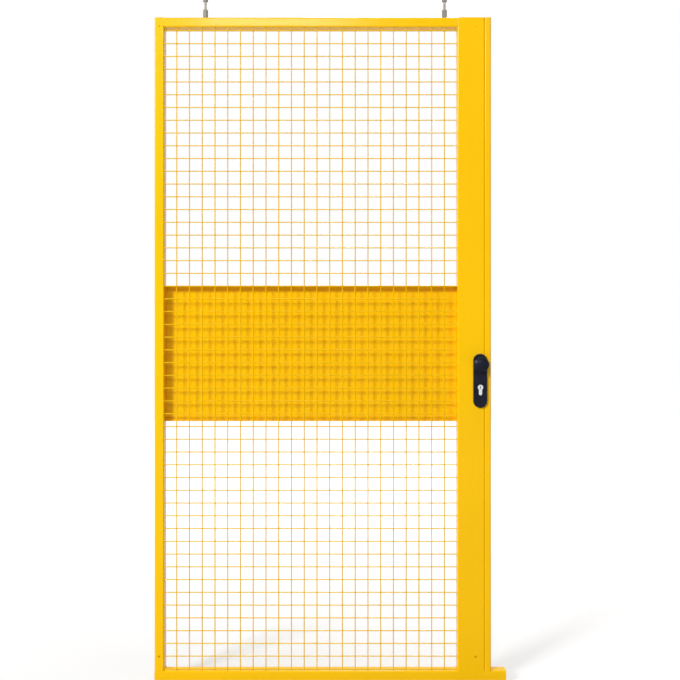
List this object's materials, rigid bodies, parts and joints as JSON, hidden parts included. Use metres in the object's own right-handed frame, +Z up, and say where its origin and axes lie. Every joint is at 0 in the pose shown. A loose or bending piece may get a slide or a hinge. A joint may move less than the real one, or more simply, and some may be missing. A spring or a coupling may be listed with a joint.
{
  "type": "sliding mesh door",
  "caption": "Yellow tube-framed guard door with welded wire mesh, a sheet panel across the middle and a lock stile, hung by bolts from trolleys in an overhead track.",
  "frame": {"origin": "middle of the back face of the middle track bracket, on the wall plane, between its two bolt holes", "axes": "+X to the right and +Y away from a person facing the door, into the wall, +Z up"},
  "size_m": [2.05, 0.117, 2.289],
  "materials": {
    "yellow_paint": "semi-gloss powder coat",
    "galvanised_steel": "hot-dip galvanised",
    "zinc_steel": "bright zinc plate",
    "black_nylon": "satin moulded nylon",
    "nickel_plate": "satin nickel",
    "white_nylon": "turned nylon",
    "black_rubber": "moulded rubber"
  },
  "bodies": {
    "track": {"overhead_track": "galvanised_steel", "track_bracket_left": "galvanised_steel", "track_bracket_middle": "galvanised_steel", "track_bracket_right": "galvanised_steel", "end_stop_left": "zinc_steel", "end_stop_right": "zinc_steel", "stop_buffer_left": "black_rubber", "stop_buffer_right": "black_rubber"},
    "leaf": {"left_stile": "yellow_paint", "lock_stile": "yellow_paint", "top_rail": "yellow_paint", "bottom_rail": "yellow_paint", "mesh_upper": "yellow_paint", "mesh_middle": "yellow_paint", "mesh_lower": "yellow_paint", "infill_panel": "yellow_paint", "rail_cap_left": "yellow_paint", "rail_cap_right": "yellow_paint", "hanger_bolt_left": "zinc_steel", "hanger_bolt_right": "zinc_steel", "trolley_left": "zinc_steel", "trolley_right": "zinc_steel", "trolley_axles_left": "zinc_steel", "trolley_axles_right": "zinc_steel", "lock_case": "zinc_steel", "lock_forend": "zinc_steel", "lock_plate_front": "black_nylon", "lock_plate_back": "black_nylon", "pull_knob": "black_nylon", "cylinder_housing": "nickel_plate", "trolley_wheels_left": "white_nylon", "trolley_wheels_right": "white_nylon"},
    "key_plug": {"key_plug": "nickel_plate"}
  },
  "joints": [
    {"name": "leaf_slide", "type": "slide", "parent": "track", "child": "leaf", "axis": [-1, 0, 0], "range_m": [0, 0.95]},
    {"name": "key_turn", "type": "hinge", "parent": "leaf", "child": "key_plug", "pos_m": [0.968, -0.091, -1.329], "axis": [0, 1, 0], "range_deg": [0, 360]}
  ]
}
